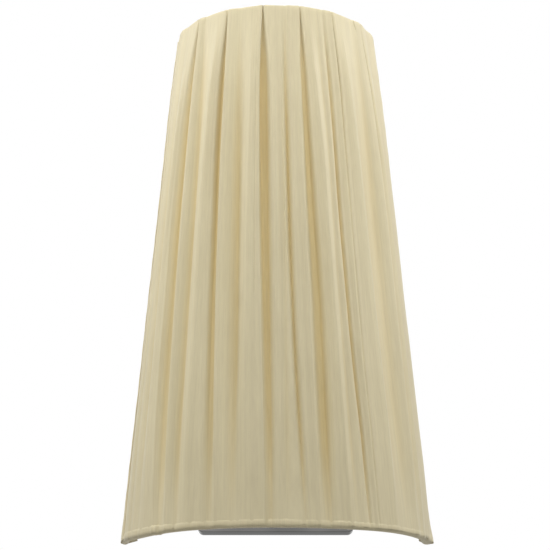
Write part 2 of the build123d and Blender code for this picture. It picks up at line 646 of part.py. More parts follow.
def butt_heights():
    """Where wires that lean with the cover end, so that their ends meet the round rings."""
    lean = (BASE_BOTTOM - BASE_TOP) / SHADE_HEIGHT
    reach = WIRE_DIAMETER / 2 * (1 + lean)
    return RING_HEIGHTS[0] + reach, RING_HEIGHTS[1] - reach


def straight_wire(start, end):
    axis = Vector(*end) - Vector(*start)
    plane = Plane(origin=start, z_dir=axis)
    return extrude(plane * Circle(WIRE_DIAMETER / 2), axis.length)


def side_wires():
    """The two uprights, which stand on the ends of the bottom ring and carry the top one."""
    wires = []
    for side in (-1, 1):
        ends = []
        for height in butt_heights():
            radius = base_radius(height) - WIRE_INSET
            ends.append((side * radius, EDGE_Y - WIRE_DIAMETER / 2, z_of(height)))
        wires.append(straight_wire(*ends))
    return wires


def rib_wires():
    """Three ribs, under the middles of the panels, so that no fold lies on them."""
    wires = []
    for panel in RIB_PANELS:
        angle = FIRST_PLEAT + PLEAT_PITCH * (panel + 0.5)
        ends = [wire_point(height, angle) for height in butt_heights()]
        wires.append(straight_wire(*ends))
    return wires


def cross_strap(height, wires):
    """Flat strap from upright to upright, stepped forward round the pan, drilled for its post."""
    half = CROSS_STRAP_THICKNESS / 2
    end_x = base_radius(height) - WIRE_INSET
    end_y = EDGE_Y - WIRE_DIAMETER / 2
    step_x = PAN_WIDTH / 2 + CROSS_STRAP_SIDE_GAP
    front_y = STRAP_BACK_Y - half
    z = z_of(height)
    line = FilletPolyline(
        (-end_x, end_y, z),
        (-step_x, end_y, z),
        (-step_x, front_y, z),
        (step_x, front_y, z),
        (step_x, end_y, z),
        (end_x, end_y, z),
        radius=CROSS_STRAP_BEND + half,
    )
    section = Plane(line @ 0, x_dir=(0, 0, 1), z_dir=line % 0) * Rectangle(
        CROSS_STRAP_WIDTH, CROSS_STRAP_THICKNESS
    )
    strap = sweep(section, path=line)
    strap -= rod_y(
        POST_DIAMETER / 2 + HOLE_CLEARANCE, STRAP_BACK_Y + half, STRAP_FRONT_Y - half, z=z
    )
    for upright in wires:
        strap -= upright
    return strap


# ---------------------------------------------------------------- shade cloth

def polar(radius, arc_length, angle):
    """Point at arc_length mm past the angle, counted from the left end."""
    turn = math.radians(angle) + arc_length / radius
    return Vector(-radius * math.cos(turn), -radius * math.sin(turn))


def cover_outline(share, fold, width, steep, swell):
    """Cover's outside at one height: panels between tucks, each tuck a slope and a steep side."""
    height = share * (SHADE_HEIGHT - 2 * CLOTH - 2 * SOFT_GAP) + CLOTH + SOFT_GAP
    radius = base_radius(height)
    corners = [(end_angle(radius), 0.0, 0.0)]
    for index in range(PLEAT_COUNT):
        crease = FIRST_PLEAT + PLEAT_PITCH * index
        if index < LEFT_TUCKS:
            corners += [(crease, -steep / 2, 0.0), (crease, steep / 2, fold), (crease, width, 0.0)]
        else:
            corners += [(crease, -width, 0.0), (crease, -steep / 2, fold), (crease, steep / 2, 0.0)]
    corners.append((180 - end_angle(radius), 0.0, 0.0))
    places = [(math.degrees(arc / radius) + angle, rise) for angle, arc, rise in corners]
    edges = []
    for (angle_a, rise_a), (angle_b, rise_b) in zip(places, places[1:]):
        start = polar(radius + rise_a, 0, angle_a)
        end = polar(radius + rise_b, 0, angle_b)
        flat_panel = rise_a == rise_b
        crown = swell if flat_panel else max(rise_a, rise_b) * SLOPE_CROWN
        middle = polar(radius + (rise_a + rise_b) / 2 + crown, 0, (angle_a + angle_b) / 2)
        edges.append(ThreePointArc(start, middle, end))
    edges.append(Line(edges[-1] @ 1, edges[0] @ 0))
    return Pos(0, 0, z_of(height)) * make_face(edges)


def half_cone(inset, low, high):
    """Solid half cone, inset inside the cover's outside, between two heights."""
    outline = Polyline(
        (0, z_of(low)),
        (base_radius(low) - inset, z_of(low)),
        (base_radius(high) - inset, z_of(high)),
        (0, z_of(high)),
        close=True,
    )
    return half_turned(make_face(outline), 0)


def cone_shell(inset, thickness, low, high, margin):
    """Thin half cone, inset inside the cover's outside, between two heights."""
    outline = Polyline(
        (base_radius(low) - inset - thickness, z_of(low)),
        (base_radius(low) - inset, z_of(low)),
        (base_radius(high) - inset, z_of(high)),
        (base_radius(high) - inset - thickness, z_of(high)),
        close=True,
    )
    return half_turned(make_face(outline), margin)


def strap_notches(inset):
    """Room for the ends of the cross straps in the cloth inside the uprights."""
    depth = -EDGE_Y + WIRE_DIAMETER / 2 + CROSS_STRAP_THICKNESS / 2 + SOFT_GAP
    tall = CROSS_STRAP_WIDTH + 2 * SOFT_GAP
    return [
        Pos(side * (base_radius(height) - inset), -depth / 2, z_of(height))
        * Box(4 * WIRE_DIAMETER, depth, tall)
        for height in POST_HEIGHTS
        for side in (-1, 1)
    ]


def pleated_cover():
    """Folded cloth: a loft through the outlines, less the cone that the frame fills."""
    sections = [cover_outline(*level) for level in FOLD_LEVELS]
    return loft(sections, ruled=True) - half_cone(COVER_THICKNESS, -1, SHADE_HEIGHT + 1)


def shade_lining():
    low = RING_HEIGHTS[0] - WIRE_DIAMETER / 2
    high = RING_HEIGHTS[1] + WIRE_DIAMETER / 2
    margin = end_angle(base_radius(high) - LINING_INSET)
    lining = cone_shell(LINING_INSET, LINING_THICKNESS, low, high, margin)
    return lining - strap_notches(LINING_INSET)


def hem(edge, fold):
    """Cloth turned over a ring: a flat over wire and cover, and a lip inside the lining."""
    inward = 1 if edge == 0 else -1

    def point(inset, depth):
        height = edge + inward * depth
        return (base_radius(height) - inset, z_of(height))

    outline = Polyline(
        point(-fold, 0),
        point(LIP_INSET + CLOTH, 0),
        point(LIP_INSET + CLOTH, HEM_LIP),
        point(LIP_INSET, HEM_LIP),
        point(LIP_INSET, CLOTH),
        point(-fold, CLOTH),
        close=True,
    )
    return half_turned(make_face(outline), end_angle(base_radius(edge) - LIP_INSET))


def side_binding(side):
    """Cloth turned round an upright: a flat against the wall and a lip behind the lining."""

    def section(height):
        radius = base_radius(height)
        outer = radius + (FOLD_LEVELS[0][1] if height == 0 else FOLD_LEVELS[-1][1])
        inner = radius - LIP_INSET - CLOTH
        points = [(side * outer, 0), (side * inner, 0), (side * inner, -CLOTH), (side * outer, -CLOTH)]
        return Pos(0, 0, z_of(height)) * make_face(Polyline(*points, close=True))

    flat = loft([section(0), section(SHADE_HEIGHT)], ruled=True)
    low = HEM_LIP + SOFT_GAP
    high = SHADE_HEIGHT - HEM_LIP - SOFT_GAP
    lip = cone_shell(LIP_INSET, CLOTH, low, high, 0)
    lip &= Pos(side * WIDE / 2, -BINDING_LIP / 2, 0) * Box(WIDE, BINDING_LIP, WIDE)
    return flat + (lip - strap_notches(LIP_INSET))


# ---------------------------------------------------------------- the assembly

save("backplate", backplate())
save("mounting_strap", mounting_strap())
save("plate_studs", *plate_studs())
save("stud_lock_nuts", *stud_lock_nuts())
save("cap_nuts", *cap_nuts())
save("ground_screw", ground_screw())
save("ground_lead", ground_lead())
save("wire_bushing", wire_bushing())
save("wire_connectors", *wire_connectors())
save("black_lead", lamp_lead(-1))
save("white_lead", lamp_lead(1))

save("socket_bracket", socket_bracket())
save("bracket_rivets", *bracket_rivets())
save("socket_nipple", socket_nipple())
save("nipple_locknut", nipple_locknut())
save("lampholder", lampholder())
save("screw_shell", screw_shell())
save("centre_contact", centre_contact())

save("lamp_glass", lamp_glass())
save("lamp_base", lamp_base())
save("lamp_insulator", lamp_insulator())
save("lamp_foot_contact", lamp_foot_contact())

save("shade_posts", *shade_posts())
save("thumb_nut_lower", thumb_nut(LOWER_POST))
save("thumb_nut_upper", thumb_nut(UPPER_POST))

frame_rings = [ring(height) for height in RING_HEIGHTS]
uprights = side_wires()
save("bottom_ring", frame_rings[0])
save("top_ring", frame_rings[1])
save("side_wires", *uprights)
save("rib_wires", *rib_wires())
save("lower_cross_strap", cross_strap(LOWER_POST, uprights))
save("upper_cross_strap", cross_strap(UPPER_POST, uprights))

save("pleated_cover", pleated_cover())
save("shade_lining", shade_lining())
save("bottom_hem", hem(0, FOLD_LEVELS[0][1]))
save("top_hem", hem(SHADE_HEIGHT, FOLD_LEVELS[-1][1]))
save("left_binding", side_binding(-1))
save("right_binding", side_binding(1))
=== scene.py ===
"""Looks of the half-round pleated wall light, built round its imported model.

The tables of shapes are in millimetres and degrees. The camera, the materials, the stage and the
lamps are in metres, as Blender is. Angles run round the shade from its left end at the wall (0)
to its right end (180), and heights are measured from its bottom edge. Rises are measured outward
from the bare cone that the wire frame makes.
"""

import math

import bpy
import numpy as np
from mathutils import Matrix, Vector


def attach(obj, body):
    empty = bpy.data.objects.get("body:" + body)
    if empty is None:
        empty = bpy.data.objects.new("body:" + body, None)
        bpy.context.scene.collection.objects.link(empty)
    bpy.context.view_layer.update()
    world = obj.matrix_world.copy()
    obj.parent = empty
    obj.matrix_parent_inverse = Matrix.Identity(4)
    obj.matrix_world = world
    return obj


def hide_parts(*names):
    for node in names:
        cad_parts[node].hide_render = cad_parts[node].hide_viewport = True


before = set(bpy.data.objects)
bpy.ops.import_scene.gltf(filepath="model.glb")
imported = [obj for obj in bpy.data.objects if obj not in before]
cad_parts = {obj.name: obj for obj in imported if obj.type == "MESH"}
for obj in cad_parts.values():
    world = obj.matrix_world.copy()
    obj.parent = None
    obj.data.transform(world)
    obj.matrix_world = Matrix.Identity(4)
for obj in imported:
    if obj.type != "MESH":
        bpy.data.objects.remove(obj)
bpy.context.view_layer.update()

MM = 0.001
BOTTOM_Z = -130.0               # shade's bottom edge
SHADE_HEIGHT = 352.4
CONE_BOTTOM = 101.0             # radius of the bare cone at the bottom edge
CONE_TOP = 68.5
EDGE_Y = 1.2                    # cloth and frame end this far from the wall
RING_INSET = 2.9                # middle of the top ring's wire, inside the bare cone
RING_HIGH = 349.7               # height of that middle
RING_ROLL = 3.0                 # how far the cloth stands above it
POST_HEIGHTS = (31.7, 243.7)    # middles of the two cross straps
STRAP_HALF = 6.3                # half their width, with clearance
STRAP_DEPTH = 3.6               # how far from the wall their ends reach


# ---------------------------------------------------------------- camera

CAMERA_LENS = 113.94            # mm, as is the sensor's width
SENSOR_WIDTH = 36.0
CAMERA_PLACE = (-0.00037, -1.1470, -0.2570)
CAMERA_TILT = 0.26454           # radians, looking up


def make_camera():
    data = bpy.data.cameras.new("camera")
    data.lens = CAMERA_LENS
    data.sensor_width = SENSOR_WIDTH
    camera = bpy.data.objects.new("camera", data)
    camera.location = CAMERA_PLACE
    camera.rotation_euler = (math.pi / 2 + CAMERA_TILT, 0.0, 0.0)
    bpy.context.scene.collection.objects.link(camera)
    bpy.context.scene.camera = camera


make_camera()


# ---------------------------------------------------------------- small mathematics

def cone_radius(height):
    return CONE_BOTTOM + (CONE_TOP - CONE_BOTTOM) * height / SHADE_HEIGHT


def hermite(start, end, start_slope, end_slope, step, t):
    """Cubic from start (t = 0) to end (t = 1), a step apart, with the slopes at both."""
    return (
        start * (2 * t**3 - 3 * t**2 + 1)
        + end * (3 * t**2 - 2 * t**3)
        + step * start_slope * (t**3 - 2 * t**2 + t)
        + step * end_slope * (t**3 - t**2)
    )


def smooth(levels, values, at):
    """Smooth curve through values given at rising levels."""
    levels, values = np.asarray(levels, float), np.asarray(values, float)
    slopes = np.gradient(values, levels)
    at = float(np.clip(at, levels[0], levels[-1]))
    i = int(np.clip(np.searchsorted(levels, at) - 1, 0, len(levels) - 2))
    step = levels[i + 1] - levels[i]
    t = (at - levels[i]) / step
    return hermite(values[i], values[i + 1], slopes[i], slopes[i + 1], step, t)


def through(points, counts):
    """Rounded line through points: counts[k] steps from point k to the next one."""
    p = np.asarray(points, float)
    gaps = np.sqrt(np.maximum(np.linalg.norm(np.diff(p, axis=0), axis=1), 1e-6))
    slopes = np.empty_like(p)
    slopes[0] = (p[1] - p[0]) / gaps[0]
    slopes[-1] = (p[-1] - p[-2]) / gaps[-1]
    before = (p[1:-1] - p[:-2]) / gaps[:-1, None]
    after = (p[2:] - p[1:-1]) / gaps[1:, None]
    share = (gaps[1:] / (gaps[:-1] + gaps[1:]))[:, None]
    slopes[1:-1] = before * share + after * (1 - share)
    out = []
    for k, count in enumerate(counts):
        t = (np.arange(count) / count)[:, None]
        out.append(hermite(p[k], p[k + 1], slopes[k], slopes[k + 1], gaps[k], t))
    out.append(p[-1:])
    return np.concatenate(out)


def swell(at, middle, width):
    """Bell curve, 1 at its middle."""
    return np.exp(-(((at - middle) / width) ** 2))


def on_shade(arc, rise, height):
    """Points in metres, from arcs in mm round the bare cone, rises and heights."""
    radius = cone_radius(height)
    turn = arc / radius
    reach = radius + rise
    x, y = -reach * np.cos(turn), -reach * np.sin(turn)
    z = np.broadcast_to(BOTTOM_Z + height, x.shape)
    return np.stack([x, y, z], axis=-1) * MM


# ---------------------------------------------------------------- meshes

def sheet_mesh(name, grid, uv, keep=None, crease=None):
    """Quad mesh from a (rows, columns, 3) grid of points and its (rows, columns, 2) cloth places.

    keep(row, column) says which faces to make. crease is how deep in a fold each point lies, from
    0 to 1; the cloth material paints shade into the folds by it."""
    rows, columns = grid.shape[:2]
    faces = []
    for i in range(rows - 1):
        for j in range(columns - 1):
            if keep is None or keep(i, j):
                a = i * columns + j
                faces.append((a, a + 1, a + columns + 1, a + columns))
    mesh = bpy.data.meshes.new(name)
    mesh.from_pydata(grid.reshape(-1, 3).tolist(), [], faces)
    layer = mesh.uv_layers.new(name="cloth")
    flat = uv.reshape(-1, 2)
    for loop in mesh.loops:
        layer.data[loop.index].uv = flat[loop.vertex_index]
    if crease is not None:
        depth = mesh.attributes.new("crease", "FLOAT", "POINT")
        depth.data.foreach_set("value", crease.reshape(-1).astype(np.float32))
    mesh.polygons.foreach_set("use_smooth", [True] * len(mesh.polygons))
    mesh.update()
    piece = bpy.data.objects.new(name, mesh)
    bpy.context.scene.collection.objects.link(piece)
    return piece


def thicken(piece, thickness):
    solid = piece.modifiers.new("cloth_thickness", "SOLIDIFY")
    solid.thickness = thickness * MM
    solid.offset = 0.0


def sheet_uv(grid):
    """Cloth places in metres: across from the arc of the middle row, along from the mean fall."""
    middle = grid[len(grid) // 2]
    across = np.concatenate([[0], np.cumsum(np.linalg.norm(np.diff(middle, axis=0), axis=1))])
    steps = np.linalg.norm(np.diff(grid, axis=0), axis=2).mean(axis=1)
    along = np.concatenate([[0], np.cumsum(steps)])
    return np.stack(np.meshgrid(across, along), axis=-1)


# ---------------------------------------------------------------- pleated cover

LEVELS = (0, 51, 102, 153, 204, 255, 306, 352)

# Ridges, valleys and creases: their angles and their rises at LEVELS.
# Tucks: the same for the open edge, then how far the cloth doubles back under that edge (mm, and
# less than nothing where the tuck has opened into a valley), the rise of that inner fold, and the
# gap (mm) between the open edge and the rolled lip of the next panel.
FOLDS = (
    ("tuck_right_over",
     (27.0, 26.5, 26.0, 25.2, 24.5, 23.6, 22.6, 21.6), (0.5, 1.0, 1.3, 1.6, 1.7, 1.7, 1.6, 1.35),
     (-5, -5, -5, -4, -3, -1, 2, 5), (0.3, 0.6, 0.8, 0.9, 0.9, 0.8, 0.5, 0.0),
     (6, 6, 6, 6, 5, 3, 1.6, 0.4)),
    ("valley",
     (30.5, 30.0, 29.5, 28.8, 28.2, 27.8, 27.8, 28.0), (0.3, 0.3, 0.4, 0.5, 0.6, 0.6, 0.5, -0.1)),
    ("ridge",
     (36.0, 34.5, 33.4, 32.6, 32.2, 32.4, 33.8, 36.5), (0.6, 1.6, 2.1, 2.5, 2.8, 2.8, 2.3, 0.4)),
    ("tuck_right_over",
     (48.0, 46.6, 45.6, 44.8, 44.2, 43.6, 42.8, 42.2), (0.7, 1.7, 2.4, 2.8, 2.9, 2.6, 2.1, 1.3),
     (-6, -5, -4.5, -4.2, -4, -3.5, -1.5, 5), (-0.1, -0.5, -1.0, -1.5, -1.8, -1.7, -1.3, -0.2),
     (9, 10, 11, 11, 11, 9.5, 6.0, 0.4)),
    ("valley",
     (52.5, 51.0, 50.4, 49.8, 49.4, 48.6, 47.2, 46.2),
     (-0.15, -0.45, -0.6, -0.62, -0.6, -0.5, -0.4, 0.1)),
    ("ridge",
     (57.0, 56.4, 56.0, 55.7, 55.4, 55.6, 56.2, 57.0), (0.6, 2.0, 2.8, 3.2, 3.4, 3.4, 2.8, 0.6)),
    ("tuck_right_over",
     (68.8, 67.6, 66.4, 65.4, 64.7, 64.0, 63.6, 62.8), (0.7, 1.6, 2.2, 2.6, 2.8, 2.6, 2.1, 1.35),
     (-4, -3, -1.5, -0.8, 0.0, 1, 3, 6), (0.0, -0.3, -0.8, -1.1, -1.2, -1.3, -1.1, -0.2),
     (7, 6.5, 6.0, 5.5, 5.2, 5.2, 4.2, 0.4)),
    ("valley",
     (74.5, 74.0, 74.0, 73.2, 72.4, 71.2, 70.0, 70.0),
     (-0.1, -0.7, -1.3, -1.5, -1.4, -1.0, -0.3, 0.1)),
    ("ridge",
     (80.0, 79.2, 78.4, 78.2, 78.0, 78.0, 77.8, 77.5), (0.4, 1.3, 2.2, 2.9, 3.3, 3.3, 2.6, 0.5)),
    ("tuck_left_over",
     (86.5, 85.8, 84.8, 83.8, 82.9, 82.4, 82.0, 82.7), (0.5, 1.2, 1.7, 2.1, 2.3, 2.2, 1.9, 1.35),
     (-3, -3, -2.5, -1.8, -1, 0.3, 2, 6), (-0.3, -0.7, -1.1, -1.4, -1.4, -1.2, -0.8, -0.2),
     (5, 5.5, 6.0, 6.3, 6.3, 5.8, 4.8, 0.4)),
    ("ridge",
     (91.8, 91.5, 91.3, 91.2, 91.0, 90.5, 90.2, 91.0), (0.4, 0.9, 1.2, 1.4, 1.5, 1.4, 1.1, 0.2)),
    ("crease",
     (100.5, 99.4, 98.0, 97.0, 96.2, 95.6, 95.0, 95.0),
     (-0.2, -1.0, -1.5, -1.7, -1.7, -1.4, -0.5, 0.1)),
    ("tuck_left_over",
     (105.5, 104.8, 104.3, 103.9, 103.2, 102.8, 102.5, 103.2),
     (0.6, 1.6, 2.0, 2.2, 2.3, 2.2, 1.9, 1.35),
     (-6, -6, -5.8, -5, -4, -2.5, 0, 6), (-0.5, -1.4, -1.7, -1.8, -1.6, -1.1, -0.6, -0.2),
     (9, 9.5, 9.5, 8.8, 7.6, 6.0, 4.2, 0.4)),
    ("ridge",
     (117.0, 115.6, 114.6, 113.8, 113.0, 112.0, 110.0, 108.0),
     (0.7, 2.0, 2.8, 3.1, 3.2, 3.1, 2.5, 0.7)),
    ("crease",
     (125.0, 124.0, 122.3, 121.2, 120.3, 119.8, 118.8, 117.0),
     (-0.2, -0.7, -0.9, -1.1, -1.2, -1.1, -0.7, 0.4)),
    ("tuck_left_over",
     (128.5, 127.2, 126.0, 125.4, 124.9, 124.5, 124.0, 122.3),
     (0.6, 1.2, 1.5, 1.6, 1.6, 1.6, 1.5, 1.35),
     (-1, -1, -1, -1, -1, -0.5, 1, 6), (0.3, 0.7, 0.9, 0.9, 0.8, 0.4, -0.3, -0.2),
     (1.6, 1.6, 1.6, 1.6, 1.6, 1.6, 1.4, 0.4)),
    ("ridge",
     (137.5, 136.0, 134.8, 133.8, 132.8, 131.6, 130.2, 128.8),
     (0.7, 1.9, 2.4, 2.6, 2.8, 2.8, 2.3, 0.1)),
    ("valley",
     (145.0, 144.5, 143.4, 142.8, 142.2, 142.0, 141.0, 139.5),
     (-0.1, -0.7, -1.1, -1.2, -1.2, -0.7, 0.0, 0.0)),
    ("tuck_left_over",
     (152.5, 151.5, 151.0, 150.6, 150.2, 149.4, 147.8, 145.3),
     (0.5, 1.4, 1.9, 2.3, 2.5, 2.5, 2.0, 1.45),
     (-5, -5, -5, -5, -5, -4, -2, 6), (0.2, 0.4, 0.6, 0.7, 0.8, 0.8, 0.6, 0.1),
     (8, 8, 8, 8, 8, 6, 3, 0.4)),
    ("valley",
     (161.0, 160.5, 160.0, 159.5, 159.0, 158.0, 156.5, 155.0),
     (0.2, 0.4, 0.6, 0.7, 0.7, 0.7, 0.6, -0.1)),
    ("tuck_left_over",
     (168.5, 168.5, 168.0, 168.0, 168.0, 167.0, 166.0, 164.8),
     (0.5, 0.8, 1.0, 1.1, 1.2, 1.4, 1.4, 1.3),
     (-3, -3, -3, -3, -3, -3, -3, -2), (0.4, 0.6, 0.7, 0.8, 0.9, 1.1, 1.1, 0.9),
     (4, 4, 4, 3.4, 3, 2, 1, 0.4)),
)
FOLD_DEPTH = (1.5, 1.9, 1.6, 1.45, 1.45, 1.45, 1.35, 1.0)  # times all the rises above
LIP_SHARE = (0.8, 0.7, 0.66, 0.64, 0.64, 0.68, 0.78, 0.8)   # a lip's height, as its tuck's share
LEFT_FLANK = (-0.4, -0.3, -0.3, 0.0, 0.1, 0.3, 0.7, 0.0)    # rises between each end and its tuck
RIGHT_FLANK = (0.8, 0.3, 0.7, 0.4, 0.4, 1.3, 1.3, 0.1)
FLANK_REACH = 7.0               # a flank has its full rise this far from the wall
FLANK_DROP = 0.5                # and is this much lower at the cover's end
FLANK_SHARE = 0.62              # share of the way to its tuck that the left flank stays level
LAYER = 0.55                    # one layer of cloth on the next

# How a fold falls off at one side, as mm away and share of its height left there: a ridge towards
# open cloth and one that rolls into a tuck, a crease, and the cloth behind a tuck's open edge.
SOFT_FALL = ((0.8, 0.92), (2.2, 0.74), (4.6, 0.46))
ROLLED_FALL = ((1.0, 0.95), (3.0, 0.78), (5.6, 0.40))
CREASE_FALL = ((0.9, 0.84), (2.3, 0.44))
TUCK_FALL = ((1.2, 0.93), (3.8, 0.66))
FALL_ROOM = 8                   # mm to the next fold that a fall needs at its full size
TUCK_ROOM = 9                   # the same behind a tuck's open edge

LIP_REACH = 2.2                 # from a tuck's mouth back to the crown of the rolled lip
LIP_SWELL = 0.08                # how much the crown rises and the roll falls, as share of the lip
CROWN = 0.25                    # from a tuck's open edge to the crown of its panel
SHUT_FROM = -2.0                # a tuck closes while its doubled cloth grows from this
SHUT_SPAN = 2.5                 # by this many mm

# Mesh steps after each point of a fold, the last of them as far as the next fold.
VALLEY_STEPS = [7]
CREASE_STEPS = [3, 2, 2, 3, 5]
RIDGE_STEPS = [3, 2, 2, 2, 2, 3, 6]
TUCK_STEPS = [3, 3, 3, 4, 2, 2, 3, 2, 2, 2, 3, 6]
FLANK_STEPS = [5, 5, 6]
END_STEPS = [5]

# Soft waves: depth, waves round and upward and their start, and the upward fading and its start.
SOFT_WAVES = ((0.10, 0.21, 0.013, 1.0, 0.021, 0.6), (0.07, 0.37, -0.009, 2.0, 0.033, 0.0))
PUCKER_DEPTH = 0.14
PUCKER_HEIGHT = (6, 14)         # middle and reach of the puckers over the hem
DENT_DEPTH = 0.7                # the one soft dent, a little left of the middle
DENT_ANGLE = 74.5
DENT_HEIGHT = 141
DENT_SIZE = (3.0, 6.0)          # round and upward
# Depth in folds, which sets where shade is painted into the cloth:
CREASE_NEAR = 6.0               # a point's depth is told from the cloth this far around it:
CREASE_FROM = 0.3               # a crease begins this deep under that cloth
CREASE_SPAN = 2.2               # and is full this much deeper

COVER_FOOT = 1.6
TOP_FADE = 40                   # mm under the top over which the cloth's waves fade
TOP_FOLDS = (0.15, 0.35)        # share of the folds' rise left over the top and inside
# Zones of the cover's rows: from, to and number of rows.
COVER_ZONES = ((COVER_FOOT, 30.0, 15), (30.0, 306.0, 93), (306.0, RING_HIGH, 26))
RING_STEPS = 10                 # rows over the top ring
RING_FULLNESS = (0.55, 0.6)     # below 1 is squarer than round: outward and upward
INNER_ROWS = (1.5, 3.5, 5.5, 7.5, 9.5)  # mm under the ring's middle, inside


def at_height(values, height):
    return smooth(LEVELS, values, height)


def fold_sides(kind, edge, rise, before, after):
    """Points of a ridge or crease from left to right, with its falls on both sides."""
    left, right = [], []
    for side, other, out in ((-1, before, left), (1, after, right)):
        fall = CREASE_FALL if kind == "crease" else ROLLED_FALL if other[2] else SOFT_FALL
        room = abs(other[0] - edge)
        for away, share_left in fall:
            reach = min(away, room * away / FALL_ROOM)
            out.append((edge + side * reach, other[1] + (rise - other[1]) * share_left))
    return left[::-1] + [(edge, rise)] + right


def tuck_sides(side, edge, rise, tuck, height, far):
    """Points of a tuck, from the lip of the panel that goes under to the panel that lies over.

    side is 1 where the panel over is the right one, and -1 where it is the left one. far is the
    nearest point of the fold behind it."""
    under, low, gap = (at_height(values, height) for values in tuck)
    low = low * at_height(FOLD_DEPTH, height)
    lip = low + (rise - low) * at_height(LIP_SHARE, height)
    roll = 0.35 + 0.12 * gap
    shut = min(1.0, max(0.0, (under - SHUT_FROM) / SHUT_SPAN))
    shut = shut * shut * (3 - 2 * shut)
    inner = edge + side * under
    width = max(0.0, -under)
    fall = rise - low
    mouth = edge - side * gap
    points = [
        (mouth - side * LIP_REACH, lip + LIP_SWELL * (lip - low)),
        (mouth - side * roll, lip - LIP_SWELL * (lip - low)),
        (mouth + side * 0.2 * roll, low + 0.45 * (lip - low)),
        (mouth + side * min(1.1 * roll, 0.45 * gap), low + 0.04 * (lip - low)),
    ]
    closed = [
        (inner, low), (inner + side * 0.15, low + LAYER / 2), (inner, low + LAYER),
        (edge + side * 0.5, max(low + LAYER + 0.1, rise - 0.75)),
        (edge + side * 0.02, rise - 0.36), (edge + side * CROWN, rise),
    ]
    opened = [
        (inner, low), (inner + side * 0.25 * width, low + 0.08 * fall),
        (inner + side * 0.50 * width, low + 0.26 * fall),
        (inner + side * 0.75 * width, low + 0.55 * fall),
        (edge - side * (0.25 + 0.02 * width), low + 0.90 * fall), (edge + side * 0.15, rise),
    ]
    points += [
        (a[0] * shut + b[0] * (1 - shut), a[1] * shut + b[1] * (1 - shut))
        for a, b in zip(closed, opened)
    ]
    room = abs(far[0] - edge)
    for away, share_left in TUCK_FALL:
        reach = min(away, room * away / TUCK_ROOM)
        points.append((edge + side * (CROWN + reach), far[1] + (rise - far[1]) * share_left))
    return points


def fold_points(fold, height, radius, before, after):
    """One fold's points (arc, rise) from left to right, and the mesh steps after each point.

    before and after are the nearest points of the neighbouring folds."""
    kind, angles, rises, *tuck = fold
    edge = math.radians(at_height(angles, height)) * radius
    rise = at_height(rises, height) * at_height(FOLD_DEPTH, height)
    if kind == "valley":
        return [(edge, rise)], VALLEY_STEPS
    if kind == "crease":
        return fold_sides(kind, edge, rise, before, after), CREASE_STEPS
    if kind == "ridge":
        return fold_sides(kind, edge, rise, before, after), RIDGE_STEPS
    if kind == "tuck_right_over":
        return tuck_sides(1, edge, rise, tuck, height, after), TUCK_STEPS
    points = tuck_sides(-1, edge, rise, tuck, height, before)
    return points[::-1], TUCK_STEPS[-2::-1] + TUCK_STEPS[-1:]


def fold_anchor(fold, height, radius):
    """The places that a fold's neighbours fall to, on its left and on its right.

    Each is an arc, a rise and whether the cloth rolls into a tuck there."""
    kind, angles, rises, *tuck = fold
    edge = math.radians(at_height(angles, height)) * radius
    depth = at_height(FOLD_DEPTH, height)
    rise = at_height(rises, height) * depth
    if not tuck:
        return (edge, rise, False), (edge, rise, False)
    low, gap = at_height(tuck[1], height) * depth, at_height(tuck[2], height)
    lip = low + (rise - low) * at_height(LIP_SHARE, height)
    if kind == "tuck_right_over":
        return (edge - gap - LIP_REACH, lip, True), (edge, rise, False)
    return (edge, rise, False), (edge + gap + LIP_REACH, lip, True)


def section(height):
    """Cover at one height: points (arc, rise) and the mesh steps after each."""
    radius = cone_radius(height)
    last = math.pi * radius
    anchors = [fold_anchor(fold, height, radius) for fold in FOLDS]
    left, right = at_height(LEFT_FLANK, height), at_height(RIGHT_FLANK, height)
    points = [
        (EDGE_Y, left - FLANK_DROP), (FLANK_REACH, left), (anchors[0][0][0] * FLANK_SHARE, left)
    ]
    counts = list(FLANK_STEPS)
    right_flank = (last - FLANK_REACH, right)
    for k, fold in enumerate(FOLDS):
        before = anchors[k - 1][1] if k else (*points[-1], False)
        after = anchors[k + 1][0] if k + 1 < len(FOLDS) else (*right_flank, False)
        new, steps = fold_points(fold, height, radius, before, after)
        points += new
        counts += steps
    points += [right_flank, (last - EDGE_Y, right - FLANK_DROP)]
    return points, counts + END_STEPS


def cover_rows(heights):
    """Grid of (arc, rise) for the cover at each height."""
    rows = []
    for height in heights:
        points, counts = section(height)
        rows.append(through(points, counts))
    return np.array(rows)


def waver(arc, height):
    """Small unevenness of sewn cloth, in mm: long soft waves, and puckers over the hem."""
    total = 0.0
    for depth, across, lean, start, upward, fade in SOFT_WAVES:
        wave = np.sin(arc * across + lean * height + start)
        total = total + depth * wave * math.sin(upward * height + fade)
    pucker = np.sin(arc * 0.83 + 1.3 * np.sin(arc * 0.11)) * np.sin(arc * 0.19 + 0.5)
    return total + PUCKER_DEPTH * swell(height, *PUCKER_HEIGHT) * pucker


def dent(arc, height):
    middle = math.radians(DENT_ANGLE) * cone_radius(height)
    return DENT_DEPTH * swell(arc, middle, DENT_SIZE[0]) * swell(height, DENT_HEIGHT, DENT_SIZE[1])


def depth_in_folds(row):
    """How deep each point of a row lies under the cloth around it, from 0 to 1."""
    arc, rise = row[:, 0], row[:, 1]
    near = swell(arc[:, None], arc[None, :], CREASE_NEAR)
    around = (near * rise[None, :]).sum(axis=1) / near.sum(axis=1)
    return np.clip((around - rise - CREASE_FROM) / CREASE_SPAN, 0.0, 1.0)


